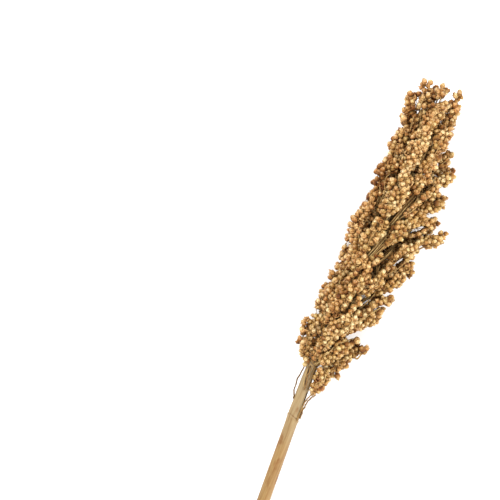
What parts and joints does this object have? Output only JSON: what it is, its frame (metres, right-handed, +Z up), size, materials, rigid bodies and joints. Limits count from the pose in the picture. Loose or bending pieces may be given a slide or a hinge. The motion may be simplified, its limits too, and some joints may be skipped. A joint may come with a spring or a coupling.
{
  "type": "sorghum seed head",
  "caption": "Dried sorghum seed head lying on its side: a long cut stalk with a node ring, and a loose head of grain-bearing side branches that spreads to one side.",
  "frame": {"origin": "middle of the bounding box, on the surface the seed head lies on", "axes": "+X along the stalk towards the tip of the head, +Y to the left of the stalk seen from above with the tip pointing away, +Z up from the surface it lies on"},
  "size_m": [0.6008, 0.0888, 0.0592],
  "materials": {
    "stalk": "dried stalk, satin, with fine fibres and brown blotches",
    "grain": "dried grains, smooth and slightly glossy, in dull papery husks",
    "strand": "dried plant fibre, matte"
  },
  "bodies": {
    "root": {"stalk": "stalk", "seed_branch_01": "grain", "seed_branch_02": "grain", "seed_branch_03": "grain", "seed_branch_04": "grain", "seed_branch_05": "grain", "seed_branch_06": "grain", "seed_branch_07": "grain", "seed_branch_08": "grain", "seed_branch_09": "grain", "seed_branch_10": "grain", "seed_branch_11": "grain", "seed_branch_12": "grain", "seed_branch_13": "grain", "seed_branch_14": "grain", "seed_branch_15": "grain", "seed_branch_16": "grain", "seed_branch_17": "grain", "seed_branch_18": "grain", "seed_branch_19": "grain", "seed_branch_20": "grain", "seed_branch_21": "grain", "seed_branch_22": "grain", "seed_branch_23": "grain", "seed_branch_24": "grain", "seed_branch_25": "grain", "seed_branch_26": "grain", "seed_branch_27": "grain", "seed_branch_28": "grain", "seed_branch_29": "grain", "seed_branch_30": "grain", "seed_branch_31": "grain", "seed_branch_32": "grain", "seed_branch_33": "grain", "seed_branch_34": "grain", "seed_branch_35": "grain", "seed_branch_36": "grain", "seed_branch_37": "grain", "seed_branch_38": "grain", "seed_branch_39": "grain", "seed_branch_40": "grain", "seed_branch_41": "grain", "seed_branch_42": "grain", "seed_branch_43": "grain", "seed_branch_44": "grain", "seed_branch_45": "grain", "seed_branch_46": "grain", "seed_branch_47": "grain", "seed_branch_48": "grain", "seed_branch_49": "grain", "seed_branch_50": "grain", "seed_branch_51": "grain", "seed_branch_52": "grain", "seed_branch_53": "grain", "bare_strand_1": "strand", "bare_strand_2": "strand", "bare_strand_3": "strand", "bare_strand_4": "strand"}
  },
  "joints": []
}
